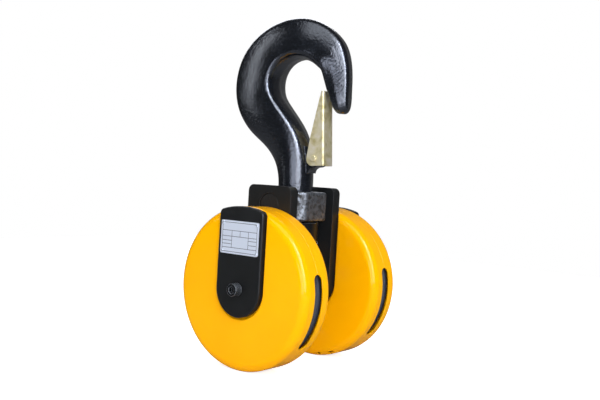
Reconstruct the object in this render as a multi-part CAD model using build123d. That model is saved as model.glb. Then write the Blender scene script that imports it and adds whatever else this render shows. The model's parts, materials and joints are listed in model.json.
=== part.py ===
"""Crane hook block: a forged single hook on a swivelling crosshead, over two rope sheaves
that run in pressed casings. Millimetres, +Z up. The origin is the centre of the hook's seat
circle, on the shank axis, and the sheave axle lies along Y, low on the block."""
from build123d import *
import math
import os

# ---- where the three axes lie
trunnion_drop = 156.2        # hook seat down to the crosshead's trunnion axis
trunnion_rise = 1.9          # trunnion axis above the casings' rims
hook_turn = 10.0             # the hook's swivel about its shank, in degrees

# ---- hook forging, in its own plane: X towards the tip, Z up from the seat
seat_diameter = 63.0
crown_height = 52.6          # section through the load line
crown_width = 54.0
back_height = 61.8           # section beside the seat
back_width = 57.0
root_height = 60.8           # section where the back runs into the neck
outside_width = 28.0         # width of every bowl section at its outside
section_bulge = 2.8          # how far the seat's face bows out between its corners
flank_bulge = 1.2            # how far a section's flank bows out
inner_corner = 7.5           # corner radius of the sections beside the seat
outer_corner = 12.0
tip_corner = 4.0
tip_outer_corner = 6.0
mouth_angle = 21.0           # slope of the tip's straight inner face
mouth_distance = 33.6        # that face from the seat's centre
tip_outside = 69.1           # the tip's upright outer face from the shank axis
tip_drop = 37.0              # the tip's blunt end below the seat
tip_end_width = 13.0
neck_diameter = 45.0
neck_start = 124.0           # where the neck is fully round, below the seat
neck_inside_start = 70.0     # waist of the bend from bowl to neck
journal_diameter = 40.0
thread_diameter = 36.0

# ---- safety latch on the neck's lug
latch_pin_stand = 7.0        # pin axis past the neck
latch_pin_drop = 95.2
latch_pin_diameter = 7.0
latch_width = 27.0
latch_sheet = 2.0
latch_depth = 15.1           # pin to the web's outer face
latch_tilt = 3.6             # the web's lean towards the seat
latch_heel_radius = 9.7      # rounded heel about the pin
latch_foot = 9.0             # pin down to the latch's lower edge
latch_top_depth = 4.0        # cheek depth at the latch's tip
latch_bend = 3.0
lug_width = 22.0
lug_slot = 12.0
lug_reach = 10.5             # the lug's round nose about the pin
lug_root_radius = 8.0
pin_head_diameter = 8.4
pin_head_height = 1.6
spring_wire = 1.8
spring_turns = 4
spring_radius = 5.6
spring_pitch = 1.95
spring_leg = 27.0
spring_tail = 3.0
spring_room = 0.6            # between the spring and its slot

# ---- crosshead, thrust bearing and nut
crosshead_height = 36.7
crosshead_half_length = 35.0     # along X
crosshead_corner = 17.0
crosshead_edge = 3.0
trunnion_diameter = 30.0
bearing_outside = 60.0
bearing_height = 13.0
bearing_washer = 3.7
thrust_ball = 7.1
thrust_ball_count = 16
thrust_pitch = 50.0
nut_diameter = 65.0
nut_height = 32.0
lock_groove_depth = 6.0
lock_plate_width = 20.0
lock_plate_thickness = 10.0
lock_plate_length = 58.0
lock_screw_diameter = 6.0
lock_screw_pitch = 22.0
lock_screw_length = 22.0

# ---- casings, two pressed half shells round each sheave
casing_diameter = 200.0
casing_edge = 10.0
sheet = 1.6
seam = 0.4                   # edge break where the two halves meet
recess_depth = 4.0
recess_lip = 3.0             # the sloping wall of a pressed recess
slot_width = 15.5
slot_top = 16.0              # rope slot, degrees above the axle's level
slot_bottom = -39.0
drain_holes = [(10.0, 5.0, 5.0), (21.5, 9.0, 3.0)]   # degrees off the bottom, length, width

# ---- side plates, straps and axle
plate_width = 68.0
plate_thickness = 14.0
plate_spacing = 77.0         # between the two side plates
plate_end = 24.6             # past the trunnion axis
plate_corner = 8.0
strap_thickness = 8.0
strap_corner = 6.0
strap_edge = 1.0
spigot_depth = 3.5
axle_diameter = 35.0
spacer_diameter = 50.0
screw_diameter = 10.0
screw_length = 30.0
screw_head_diameter = 16.0
screw_head_height = 10.0
screw_hex = 8.0

# ---- sheaves and their bearings
sheave_room = 5.4            # radial, between sheave and casing
groove_depth = 13.0
groove_radius = 5.0
groove_angle = 45.0
rim_width = 28.0
rim_depth = 20.0
web_thickness = 12.0
hub_diameter = 92.0
bearing_bore = axle_diameter
bearing_diameter = 72.0
bearing_width = 17.0
race_step = 5.9              # thickness of a race ring at its shoulder
ball_diameter = 11.1
ball_count = 9
bearings_per_sheave = 2
spacer_width = 2.9           # ring between a bearing and its casing

# ---- rating plate, blank
label_width = 59.0
label_height = 40.0
label_thickness = 1.0
label_centre = 62.0          # above the axle
label_corner = 2.0
rivet_diameter = 2.4
rivet_inset = 3.0
rivet_head = 0.9

# ---- clearances
running_gap = 0.1            # radial, shaft in bore
side_gap = 0.4               # between faces that slide past each other
ball_gap = 0.05
press_gap = 0.0

casing_radius = casing_diameter / 2
axle_drop = casing_radius + trunnion_rise
plate_top = axle_drop + plate_end
trunnion_z = -trunnion_drop
axle_z = trunnion_z - axle_drop
sheave_diameter = casing_diameter - 2 * (sheet + sheave_room)
groove_diameter = sheave_diameter - 2 * groove_depth
plate_half = plate_width / 2
bearing_pair = bearings_per_sheave * bearing_width
casing_width = bearing_pair + 2 * (spacer_width + sheet + recess_depth)
plate_inner_face = plate_spacing / 2
plate_outer_face = plate_inner_face + plate_thickness
casing_inner_face = plate_outer_face - recess_depth
casing_offset = casing_inner_face + casing_width / 2
strap_inner_face = casing_offset + casing_width / 2 - recess_depth
strap_outer_face = strap_inner_face + strap_thickness
seat_radius = seat_diameter / 2
neck_radius = neck_diameter / 2
latch_pin_x = neck_radius + latch_pin_stand
counterbore_depth = bearing_height - side_gap
crosshead_top = trunnion_z + crosshead_height / 2
crosshead_bottom = trunnion_z - crosshead_height / 2
neck_end = crosshead_top + 2 * side_gap
bearing_top = crosshead_bottom + counterbore_depth
bearing_bottom = bearing_top - bearing_height
nut_bottom = bearing_bottom - nut_height
sides = {"near": -1, "far": 1}

os.makedirs("parts", exist_ok=True)


def write(name, shape):
    """Write one node's solids."""
    solids = shape.solids() if hasattr(shape, "solids") else ShapeList(shape)
    body = solids[0] if len(solids) == 1 else Compound(children=list(solids))
    export_step(body, f"parts/{name}.step")


def disc(radius, low, high):
    """A cylinder about Z between two heights."""
    return Pos(0, 0, (low + high) / 2) * Cylinder(radius, high - low)


def ring(outer, inner, low, high):
    """A plain ring about Z between two heights."""
    return disc(outer, low, high) - disc(inner, low - 1, high + 1)


def along_axle(shape, side, offset):
    """Stand a piece built about Z on the axle's line, its Z pointing outwards from the block."""
    turn = Rot(90, 0, 0) if side < 0 else Rot(0, 0, 180) * Rot(90, 0, 0)
    return Pos(0, side * offset, axle_z) * turn * shape


def in_hook(shape):
    """Swivel a piece of the hook to its place."""
    return Rot(0, 0, hook_turn) * shape


# ------------------------------------------------------------------ hook forging

def half_trapezium(depth, inner_width, outer_width, corner, outer):
    """Half of a section, from the middle of its inside to the middle of its outside."""
    slope = math.atan2((inner_width - outer_width) / 2, depth)
    flat = inner_width / 2 * math.cos(slope)
    bulge = min(section_bulge, corner / 2)
    outer = min(outer, 0.98 * outer_width / 2 * math.cos(slope) / (1 - math.sin(slope)))
    inner_y = (flat - corner - (corner + bulge) * math.sin(slope)) / math.cos(slope)
    outer_y = (flat - outer - (depth - outer) * math.sin(slope)) / math.cos(slope)
    start = 180 - math.degrees(math.atan(2 * bulge / inner_y))
    flank = 90 - math.degrees(slope)
    points = [(0, 0), (0.3 * bulge, 0.55 * inner_y)]
    for step in range(4):
        x, y = polar(start + (flank - start) * step / 3, corner)
        points.append((corner + bulge + x, inner_y + y))
    end_x, end_y = polar(flank, outer)
    last = (depth - outer + end_x, outer_y + end_y)
    bow_x, bow_y = polar(flank, flank_bulge)
    for share in (1 / 3, 2 / 3):
        x = points[5][0] + (last[0] - points[5][0]) * share
        y = points[5][1] + (last[1] - points[5][1]) * share
        points.append((x + bow_x, y + bow_y))
    for step in range(4):
        x, y = polar(flank * (1 - step / 3), outer)
        points.append((depth - outer + x, outer_y + y))
    return points + [(depth, 0)]


def hook_section(inner, outer, widths, corners, roundness=0.0):
    """One closed section between an inner and an outer point of the hook's plane: a rounded
    trapezium that turns into an ellipse as the roundness goes to 1."""
    depth = math.dist(inner, outer)
    half = half_trapezium(depth, *widths, *corners)
    round_angles = (180, 160, 146, 134, 122, 110, 92, 72, 54, 40, 26, 13, 0)
    blended = []
    for (x, y), angle in zip(half, round_angles):
        round_x, round_y = polar(angle, 0.5)
        round_x = depth * (0.5 + round_x)
        round_y *= (widths[0] + widths[1]) / 2
        blended.append((x + (round_x - x) * roundness, y + (round_y - y) * roundness))
    outline = blended + [(x, -y) for x, y in blended[-2:0:-1]]
    along = ((outer[0] - inner[0]) / depth, (outer[1] - inner[1]) / depth)
    points = [(inner[0] + along[0] * x, y, inner[1] + along[1] * x) for x, y in outline]
    return make_face(Spline(*points, periodic=True))


def mouth_face_x(z):
    """X of the tip's straight inner face at a height."""
    slope = math.radians(mouth_angle)
    return (mouth_distance - z * math.sin(slope)) / math.cos(slope)


def polar(angle, radius):
    """A point of the hook's plane at an angle round the seat."""
    turn = math.radians(angle)
    return (radius * math.cos(turn), radius * math.sin(turn))


def tip_sections():
    """Level sections from the blunt end up to the seat's height."""
    drops = [(tip_drop, 5.0, 4.7, tip_end_width, 10.0, 0.6), (tip_drop - 3.0, 1.5, 1.5, 20.0, 15.0, 0.3),
             (tip_drop - 10.0, 0.0, 0.0, 25.0, 18.0, 0.0), (tip_drop / 2 - 5.0, 0.0, 0.0, 29.0, 20.0, 0.0)]
    sections = []
    for drop, inner_trim, outer_trim, inner_width, outer_width, roundness in drops:
        inner = (mouth_face_x(-drop) + inner_trim, -drop)
        outer = (tip_outside - outer_trim, -drop)
        sections.append(hook_section(inner, outer, (inner_width, outer_width),
                                     (tip_corner, tip_outer_corner), roundness))
    return sections


def bowl_sections():
    """Radial sections round the seat, from the tip's root to the neck's."""
    tip_root = mouth_face_x(0)
    stations = [(0, tip_root, tip_outside, 32, 20, 0.2), (30, seat_radius + 2.5, 74.0, 42, 22, 0.5),
                (60, seat_radius, 80.0, 48, 24, 0.8),
                (90, seat_radius, seat_radius + crown_height, crown_width, 26, 1.0),
                (120, seat_radius, 87.0, 54, 27, 1.0), (150, seat_radius, 90.7, 55, 28, 1.0),
                (180, seat_radius, seat_radius + back_height, back_width, outside_width, 1.0),
                (200, seat_radius, seat_radius + 62.3, 55, 29.5, 1.0),
                (216, seat_radius, seat_radius + root_height, 54, 32, 1.0)]
    sections = []
    for angle, inside, outside, inner_width, outer_width, share in stations:
        inner, outer = polar(angle, inside), polar(angle, outside)
        corners = (tip_corner + (inner_corner - tip_corner) * share,
                   tip_outer_corner + (outer_corner - tip_outer_corner) * share)
        sections.append(hook_section(inner, outer, (inner_width, outer_width), corners))
    return sections


def neck_sections():
    """Sections that turn the bowl's back down into the round neck."""
    waist = -neck_inside_start
    corners = (inner_corner, outer_corner)
    return [hook_section((neck_radius - 29, waist + 29), (-neck_radius - 30.3, waist - 4),
                         (53, 36), corners, 0.15),
            hook_section((neck_radius - 9.5, waist), (-neck_radius - 13, waist - 20),
                         (50, 39), corners, 0.45),
            hook_section((neck_radius - 1.5, waist - 32), (-neck_radius - 3, waist - 39),
                         (46, 44), corners, 0.85),
            hook_section((neck_radius, -neck_start), (-neck_radius, -neck_start - 2),
                         (neck_diameter, neck_diameter), corners, 1.0),
            hook_section((neck_radius, neck_end), (-neck_radius, neck_end),
                         (neck_diameter, neck_diameter), corners, 1.0)]


def latch_lug():
    """The forged nose that carries the latch, with its concave root on the neck."""
    pin_z = -latch_pin_drop
    nose = latch_pin_x + lug_reach
    root_x = neck_radius + lug_root_radius
    root_drop = math.sqrt((lug_reach + lug_root_radius) ** 2 - (root_x - latch_pin_x) ** 2)
    touch = math.degrees(math.atan2(root_drop, root_x - latch_pin_x))
    with BuildSketch(Plane.XZ) as outline:
        with BuildLine():
            Polyline((0, pin_z - root_drop), (neck_radius, pin_z - root_drop))
            CenterArc((root_x, pin_z - root_drop), lug_root_radius, 180, -touch)
            CenterArc((latch_pin_x, pin_z), lug_reach, -touch, 90 + touch)
            Polyline((latch_pin_x, pin_z + lug_reach), (0, pin_z + 2 * lug_reach),
                     (0, pin_z - root_drop))
        make_face()
    lug = extrude(outline.sketch, amount=lug_width / 2, both=True)
    slot_left = neck_radius + running_gap
    floor = math.hypot(spring_radius, spring_tail) + spring_wire / 2 + spring_room
    length = nose + lug_reach - slot_left
    height = 4 * lug_reach
    slot = Pos(slot_left + length / 2, 0, pin_z - floor + height / 2) * Box(length, lug_slot, height)
    return lug, slot


def hook_forging():
    """The hook, its lug, neck, journal and threaded end in one forging."""
    body = loft(tip_sections() + bowl_sections() + neck_sections())
    lug, slot = latch_lug()
    body += disc(journal_diameter / 2, bearing_bottom, neck_end + neck_radius)
    body += disc(thread_diameter / 2, nut_bottom, bearing_bottom)
    body += lug
    body -= slot
    pin_line = Pos(latch_pin_x, 0, -latch_pin_drop) * Rot(90, 0, 0)
    body -= pin_line * Cylinder(latch_pin_diameter / 2, 2 * lug_width)
    groove = Pos(0, 0, nut_bottom) * Box(2 * nut_diameter, lock_plate_width, 2 * lock_groove_depth)
    body -= groove
    for side in (-1, 1):
        body -= Pos(side * lock_screw_pitch / 2, 0, nut_bottom) * Cylinder(
            lock_screw_diameter / 2, 2 * lock_screw_length)
    return in_hook(body)


# ------------------------------------------------------------------ safety latch

def latch_length():
    """Distance along the web from the pin to the latch's tip, which meets the hook's tip."""
    lean = math.radians(latch_tilt)
    slope = math.radians(mouth_angle)
    reach = mouth_distance - side_gap - latch_pin_x * math.cos(slope)
    reach += latch_pin_drop * math.sin(slope) - latch_depth * math.cos(slope - lean)
    return reach / math.sin(slope - lean)


def in_latch(shape):
    """Put a piece drawn from the pin, X to the web and Z along it, into the hook."""
    return in_hook(Pos(latch_pin_x, 0, -latch_pin_drop) * Rot(0, -latch_tilt, 0) * shape)


def safety_latch():
    """A pressed channel: a web across the mouth and two cheeks that narrow to its tip."""
    top = latch_length()
    heel_angle = 180 + math.degrees(math.asin(latch_foot / latch_heel_radius))
    with BuildSketch(Plane.XZ) as outline:
        with BuildLine():
            foot_x = -math.sqrt(latch_heel_radius ** 2 - latch_foot ** 2)
            CenterArc((0, 0), latch_heel_radius, 165, heel_angle - 165)
            heel_top = polar(165, latch_heel_radius)
            Polyline((foot_x, -latch_foot), (latch_depth, -latch_foot), (latch_depth, top),
                     (latch_depth - latch_top_depth, top), (-4.0, top * 0.33), heel_top)
        make_face()
    side_form = extrude(outline.sketch, amount=latch_width, both=True)
    length = 4 * top
    outer = Pos(latch_depth - length / 2, 0, 0) * Box(length, latch_width, length)
    outer = fillet(outer.edges().filter_by(Axis.Z).sort_by(Axis.X)[-2:], latch_bend)
    inner = Pos(latch_depth - latch_sheet - length / 2, 0, 0) * Box(
        length, latch_width - 2 * latch_sheet, length)
    inner = fillet(inner.edges().filter_by(Axis.Z).sort_by(Axis.X)[-2:], latch_bend - latch_sheet)
    latch = (outer - inner) & side_form
    latch -= Rot(90, 0, 0) * Cylinder(latch_pin_diameter / 2 + running_gap, 2 * latch_width)
    return in_latch(latch)


def latch_pin():
    """The rivet pin through the lug's ears and the latch's cheeks."""
    half = latch_width / 2 + side_gap
    pin = disc(latch_pin_diameter / 2, -half, half)
    for side in (-1, 1):
        head = Pos(0, 0, side * (half + pin_head_height / 2)) * Cylinder(
            pin_head_diameter / 2, pin_head_height)
        rims = head.edges().sort_by(Axis.Z)
        pin += fillet(rims[-1] if side > 0 else rims[0], pin_head_height * 0.6)
    return in_latch(Rot(90, 0, 0) * pin)


def latch_spring():
    """A torsion spring round the pin: one leg up behind the web, a short tail in the lug."""
    height = spring_turns * spring_pitch
    coil_line = Helix(pitch=spring_pitch, height=height, radius=spring_radius,
                      center=(0, 0, -height / 2))
    tail = Line(coil_line @ 0 - (coil_line % 0) * spring_tail, coil_line @ 0)
    leg = Line(coil_line @ 1, coil_line @ 1 + (coil_line % 1) * spring_leg)
    wire_line = Wire([tail, coil_line, leg])
    profile = Plane(origin=wire_line @ 0, z_dir=wire_line % 0) * Circle(spring_wire / 2)
    spring = sweep(profile, path=wire_line, is_frenet=True)
    reach = latch_depth - latch_sheet - spring_wire / 2 - spring_radius
    lean = math.degrees(math.asin((reach - side_gap) / spring_leg))
    return in_latch(Rot(90, 0, 0) * Rot(0, 0, -lean) * spring)


# ------------------------------------------------------------------ crosshead and nut

def crosshead():
    """The forged block between the side plates, with its two trunnions."""
    half_width = plate_inner_face - side_gap
    base = Rectangle(2 * crosshead_half_length, 2 * half_width)
    base = chamfer(base.vertices(), crosshead_corner)
    base = fillet(base.vertices(), 2 * crosshead_edge)
    block = Pos(0, 0, crosshead_bottom) * extrude(base, amount=crosshead_height)
    rims = block.edges().filter_by(Plane.XY)
    block = fillet(rims, crosshead_edge)
    trunnion_half = plate_outer_face - side_gap
    pin = disc(trunnion_diameter / 2 - running_gap, -trunnion_half, trunnion_half)
    pin = chamfer(pin.edges().filter_by(GeomType.CIRCLE), 1.0)
    block += Pos(0, 0, trunnion_z) * Rot(90, 0, 0) * pin
    block -= disc(journal_diameter / 2 + running_gap, crosshead_bottom - 1, crosshead_top + 1)
    block -= disc(bearing_outside / 2 + press_gap, crosshead_bottom - 1, bearing_top)
    return block


def thrust_washer(low, high, race_z):
    """A flat bearing washer with its ball race."""
    inner = journal_diameter / 2
    washer = ring(bearing_outside / 2 - press_gap, inner + 2 * running_gap, low, high)
    race = Pos(0, 0, race_z) * Torus(thrust_pitch / 2, thrust_ball / 2 + ball_gap)
    return washer - race


def thrust_bearing():
    """Housing washer, balls, cage and shaft washer under the crosshead."""
    middle = (bearing_top + bearing_bottom) / 2
    housing = thrust_washer(bearing_top - bearing_washer, bearing_top, middle)
    shaft = thrust_washer(bearing_bottom, bearing_bottom + bearing_washer, middle)
    gap = bearing_height - 2 * bearing_washer
    cage_half = gap / 2 - 2 * side_gap
    cage = ring(bearing_outside / 2 - 1.0, journal_diameter / 2 + 1.0,
                middle - cage_half, middle + cage_half)
    balls = []
    for index in range(thrust_ball_count):
        place = Rot(0, 0, 360 * index / thrust_ball_count) * Pos(thrust_pitch / 2, 0, middle)
        cage -= place * Cylinder(thrust_ball / 2 + ball_gap, 2 * gap)
        balls.append(place * Sphere(thrust_ball / 2))
    write("thrust_washer_housing", housing)
    write("thrust_washer_shaft", in_hook(shaft))
    write("thrust_cage", cage)
    write("thrust_balls", Compound(children=[ball.solid() for ball in balls]))


def hook_nut():
    """The round nut on the shank, grooved across for its lock plate."""
    nut = ring(nut_diameter / 2, thread_diameter / 2, nut_bottom, bearing_bottom)
    rims = nut.edges().filter_by(GeomType.CIRCLE).filter_by(lambda e: e.radius > nut_diameter / 3)
    nut = chamfer(rims, 2.0)
    nut -= Pos(0, 0, nut_bottom) * Box(2 * nut_diameter, lock_plate_width, 2 * lock_groove_depth)
    return in_hook(nut)


def lock_plate():
    """The bar that lies in the grooves of nut and shank, and stops one turning in the other."""
    low = nut_bottom + lock_groove_depth - lock_plate_thickness
    bar = Pos(0, 0, low + lock_plate_thickness / 2) * Box(
        lock_plate_length, lock_plate_width, lock_plate_thickness)
    bar = fillet(bar.edges().filter_by(Axis.Z), 3.0)
    for side in (-1, 1):
        bar -= Pos(side * lock_screw_pitch / 2, 0, low) * Cylinder(
            lock_screw_diameter / 2, 4 * lock_plate_thickness)
    return in_hook(bar)


def cap_screw(diameter, length, head_diameter, head_height, hexagon):
    """A socket cap screw: its head stands on Z = 0, its shank goes down."""
    head = disc(head_diameter / 2, 0, head_height)
    top = head.edges().filter_by(GeomType.CIRCLE).sort_by(Axis.Z)[-1]
    head = chamfer(top, diameter * 0.08)
    socket = extrude(RegularPolygon(hexagon / math.sqrt(3), 6), amount=head_height)
    head -= Pos(0, 0, head_height / 2) * socket
    return head + disc(diameter / 2, -length, 0)


def lock_plate_screws():
    """Two cap screws up into the shank's end."""
    low = nut_bottom + lock_groove_depth - lock_plate_thickness
    screw = cap_screw(lock_screw_diameter, lock_screw_length, 1.6 * lock_screw_diameter,
                      lock_screw_diameter * 0.7, 0.8 * lock_screw_diameter)
    turned = Rot(180, 0, 0) * screw
    places = [Pos(side * lock_screw_pitch / 2, 0, low) for side in (-1, 1)]
    return Compound(children=[in_hook(place * turned).solid() for place in places])


# ------------------------------------------------------------------ casings

def u_shape(half_width, height):
    """The outline of a strap recess: a round foot about the axle, open past the rim."""
    length = casing_diameter
    shape = Circle(half_width) + Pos(0, length / 2) * Rectangle(2 * half_width, length)
    return Pos(0, 0, height) * shape


def recess_form(depth_face, grow):
    """The tapered hollow pressed into a casing's face, from floor to face."""
    floor_half = plate_half + side_gap + grow
    floor = u_shape(floor_half, depth_face - recess_depth)
    mouth = u_shape(floor_half + recess_lip, depth_face)
    over = u_shape(floor_half + recess_lip, depth_face + 1)
    return loft([floor, mouth], ruled=True) + loft([mouth, over], ruled=True)


def casing_profile(radius, depth, edge, break_edge):
    """The filled half casing that a shell's outer or inner face encloses."""
    with BuildSketch(Plane.XZ) as outline:
        with BuildLine():
            Polyline((0, depth), (0, 0), (radius - break_edge, 0), (radius, break_edge),
                     (radius, depth - edge))
            RadiusArc((radius, depth - edge), (radius - edge, depth), -edge)
            Line((radius - edge, depth), (0, depth))
        make_face()
    return revolve(outline.sketch, Axis.Z)


def rope_slot():
    """The cutter for one rope slot in the rim, round-ended, on the +X side."""
    end_turn = math.degrees(slot_width / 2 / casing_radius)
    low, high = slot_bottom + end_turn, slot_top - end_turn
    with BuildSketch(Plane.XZ) as band:
        with Locations((casing_radius, 0)):
            Rectangle(8 * sheet, slot_width)
    cutter = Rot(0, 0, low) * revolve(band.sketch, Axis.Z, high - low)
    for angle in (low, high):
        cutter += Rot(0, 0, angle) * Pos(casing_radius, 0, 0) * Rot(0, 90, 0) * Cylinder(
            slot_width / 2, 8 * sheet)
    return cutter


def casing_half():
    """One pressed half shell about Z, its open edge on Z = 0."""
    half_width = casing_width / 2
    shell = casing_profile(casing_radius, half_width, casing_edge, seam)
    shell -= recess_form(half_width, 0)
    hollow = casing_profile(casing_radius - sheet, half_width - sheet, casing_edge - sheet,
                            seam / 4)
    hollow -= recess_form(half_width - sheet, sheet)
    shell -= hollow
    shell -= Cylinder(axle_diameter / 2 + running_gap, 3 * casing_width)
    slot = rope_slot()
    shell -= slot
    shell -= mirror(slot, Plane.YZ)
    return shell


def drained(half):
    """An inner half with the drain holes through its lower edge."""
    corner = casing_edge * (1 - math.sqrt(0.5))
    for angle, length, width in drain_holes:
        with BuildSketch() as hole:
            SlotOverall(length, width) if length > width else Circle(width / 2)
        cutter = extrude(hole.sketch, amount=casing_edge / 2, both=True)
        place = Pos(0, -casing_radius + corner, casing_width / 2 - corner)
        half -= Rot(0, 0, -angle) * place * Rot(45, 0, 0) * cutter
    return half


# ------------------------------------------------------------------ plates and axle

def side_plate(side):
    """The thick plate that joins a trunnion to the axle."""
    with BuildSketch() as outline:
        Circle(plate_half)
        with Locations((0, plate_top / 2)):
            Rectangle(plate_width, plate_top)
        top = outline.vertices().group_by(Axis.Y)[-1]
        fillet(top, plate_corner)
        with Locations((0, axle_drop)):
            Circle(trunnion_diameter / 2, mode=Mode.SUBTRACT)
        Circle(axle_diameter / 2, mode=Mode.SUBTRACT)
    plate = extrude(outline.sketch, amount=plate_thickness)
    return along_axle(plate, side, plate_inner_face)


def strap(side):
    """The outer strap, domed to the casing's rim, with a blind seat for the axle's end."""
    with BuildSketch() as outline:
        Circle(plate_half)
        with Locations((0, casing_radius / 2)):
            Rectangle(plate_width, casing_radius)
        Circle(casing_radius, mode=Mode.INTERSECT)
        top = outline.vertices().group_by(Axis.Y)[-1]
        fillet(top, strap_corner)
    plate = extrude(outline.sketch, amount=strap_thickness)
    plate = chamfer(plate.faces().sort_by(Axis.Z)[-1].edges(), strap_edge)
    plate -= disc(axle_diameter / 2, -1, spigot_depth)
    plate -= disc(screw_diameter / 2, -1, strap_thickness + 1)
    return along_axle(plate, side, strap_inner_face)


def axle():
    """The through axle, its ends seated in the straps and tapped for their screws."""
    half = strap_inner_face + spigot_depth - side_gap
    bar = disc(axle_diameter / 2, -half, half)
    bar = chamfer(bar.edges().filter_by(GeomType.CIRCLE), 1.0)
    depth = screw_length - strap_thickness + spigot_depth + 2
    for side in (-1, 1):
        bar -= Pos(0, 0, side * half) * Cylinder(screw_diameter / 2, 2 * depth)
    return Pos(0, 0, axle_z) * Rot(90, 0, 0) * bar


def spacers():
    """Rings between casing floors and bearing races, two on each side of each sheave."""
    rings = []
    for side in sides.values():
        for end in (-1, 1):
            middle = end * (bearing_pair + spacer_width) / 2
            piece = ring(bearing_bore / 2 + race_step, axle_diameter / 2,
                         middle - spacer_width / 2, middle + spacer_width / 2)
            rings.append(along_axle(piece, side, casing_offset).solid())
    return Compound(children=rings)


# ------------------------------------------------------------------ sheaves and bearings

def sheave():
    """A grooved rope sheave about Z: rim, web and hub."""
    rim = sheave_diameter / 2
    bottom = groove_diameter / 2
    half_angle = math.radians(groove_angle / 2)
    tangent_half = groove_radius * math.cos(half_angle)
    tangent_r = bottom + groove_radius * (1 - math.sin(half_angle))
    mouth_half = tangent_half + (rim - tangent_r) * math.tan(half_angle)
    hub_half = bearing_pair / 2
    rim_foot = bottom - rim_depth / 2
    with BuildSketch(Plane.XZ) as outline:
        with BuildLine():
            Polyline((bearing_diameter / 2, -hub_half), (hub_diameter / 2, -hub_half),
                     (hub_diameter / 2 + 4, -web_thickness / 2),
                     (rim_foot, -web_thickness / 2), (rim_foot + 6, -rim_width / 2),
                     (rim, -rim_width / 2), (rim, -mouth_half), (tangent_r, -tangent_half))
            ThreePointArc((tangent_r, -tangent_half), (bottom, 0), (tangent_r, tangent_half))
            Polyline((tangent_r, tangent_half), (rim, mouth_half), (rim, rim_width / 2),
                     (rim_foot + 6, rim_width / 2), (rim_foot, web_thickness / 2),
                     (hub_diameter / 2 + 4, web_thickness / 2), (hub_diameter / 2, hub_half),
                     (bearing_diameter / 2, hub_half), (bearing_diameter / 2, -hub_half))
        make_face()
    return revolve(outline.sketch, Axis.Z)


def bearing_rows():
    """Mid-planes of a sheave's bearings, from its own middle."""
    middle = (bearings_per_sheave - 1) / 2
    return [(row - middle) * bearing_width for row in range(bearings_per_sheave)]


def bearing_rings(outer_ring):
    """The inner or outer race rings of one sheave's bearings, about Z."""
    pitch = (bearing_bore + bearing_diameter) / 4
    rings = []
    for height in bearing_rows():
        low, high = height - bearing_width / 2, height + bearing_width / 2
        if outer_ring:
            piece = ring(bearing_diameter / 2, bearing_diameter / 2 - race_step, low, high)
        else:
            piece = ring(bearing_bore / 2 + race_step, bearing_bore / 2, low, high)
        piece -= Pos(0, 0, height) * Torus(pitch, ball_diameter / 2 + ball_gap)
        rings.append(piece)
    return rings


def bearing_balls():
    """The balls of one sheave's bearings, about Z."""
    pitch = (bearing_bore + bearing_diameter) / 4
    return [Rot(0, 0, 360 * index / ball_count) * Pos(pitch, 0, height) * Sphere(ball_diameter / 2)
            for height in bearing_rows() for index in range(ball_count)]


# ------------------------------------------------------------------ rating plate

def rating_plate():
    """A blank aluminium plate on the near strap, and its four rivets."""
    outline = RectangleRounded(label_width, label_height, label_corner)
    plate = Pos(0, label_centre, 0) * extrude(outline, amount=label_thickness)
    rivets = []
    for x_side in (-1, 1):
        for y_side in (-1, 1):
            spot = Pos(x_side * (label_width / 2 - rivet_inset),
                       label_centre + y_side * (label_height / 2 - rivet_inset), 0)
            plate -= spot * Cylinder(rivet_diameter / 2, 4)
            stem = disc(rivet_diameter / 2, 0, label_thickness)
            head = disc(rivet_diameter * 0.8, label_thickness, label_thickness + rivet_head)
            rim = head.edges().filter_by(GeomType.CIRCLE).sort_by(Axis.Z)[-1]
            head = fillet(rim, rivet_head * 0.7)
            rivets.append(spot * (stem + head))
    return plate, rivets


# ------------------------------------------------------------------ write every node

write("hook_forging", hook_forging())
write("safety_latch", safety_latch())
write("latch_pin", latch_pin())
write("latch_spring", latch_spring())
write("crosshead", crosshead())
thrust_bearing()
write("hook_nut", hook_nut())
write("lock_plate", lock_plate())
write("lock_plate_screws", lock_plate_screws())
write("axle", axle())
write("bearing_spacers", spacers())
centre_tube = ring(spacer_diameter / 2, axle_diameter / 2, -plate_inner_face, plate_inner_face)
write("centre_spacer", Pos(0, 0, axle_z) * Rot(90, 0, 0) * centre_tube)

half_shell = casing_half()
drained_shell = mirror(drained(half_shell), Plane.XY)
rope_sheave = sheave()
for name, side in sides.items():
    outward = along_axle(half_shell, side, casing_offset)
    inward = along_axle(drained_shell, side, casing_offset)
    write(f"casing_outer_{name}", outward)
    write(f"casing_inner_{name}", inward)
    write(f"side_plate_{name}", side_plate(side))
    write(f"strap_{name}", strap(side))
    write(f"sheave_{name}", along_axle(rope_sheave, side, casing_offset))
    for kind, pieces in (("outer_rings", bearing_rings(True)), ("inner_rings", bearing_rings(False)),
                         ("balls", bearing_balls())):
        placed = [along_axle(piece, side, casing_offset).solid() for piece in pieces]
        write(f"bearing_{kind}_{name}", Compound(children=placed))

screw = cap_screw(screw_diameter, screw_length, screw_head_diameter, screw_head_height, screw_hex)
screws = [along_axle(screw, side, strap_outer_face).solid() for side in sides.values()]
write("axle_screws", Compound(children=screws))
label, label_rivets = rating_plate()
write("rating_plate", along_axle(label, sides["near"], strap_outer_face))
placed = [along_axle(rivet, sides["near"], strap_outer_face).solid() for rivet in label_rivets]
write("rating_plate_rivets", Compound(children=placed))
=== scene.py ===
# %% [markdown]
# # A crane hook block, dressed for its portrait
# The block is a chain of machine parts that were drawn in CAD: a forged hook that swivels in
# a crosshead, two thick side plates, and two rope sheaves that run in pressed casings. Their
# shapes are exact already. What is left for Blender is what paint, forging and machining do
# to light, a few details too fine for CAD, and a plain studio round it all.

import json
import math

import bmesh
import bpy
from mathutils import Matrix, Vector


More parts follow.
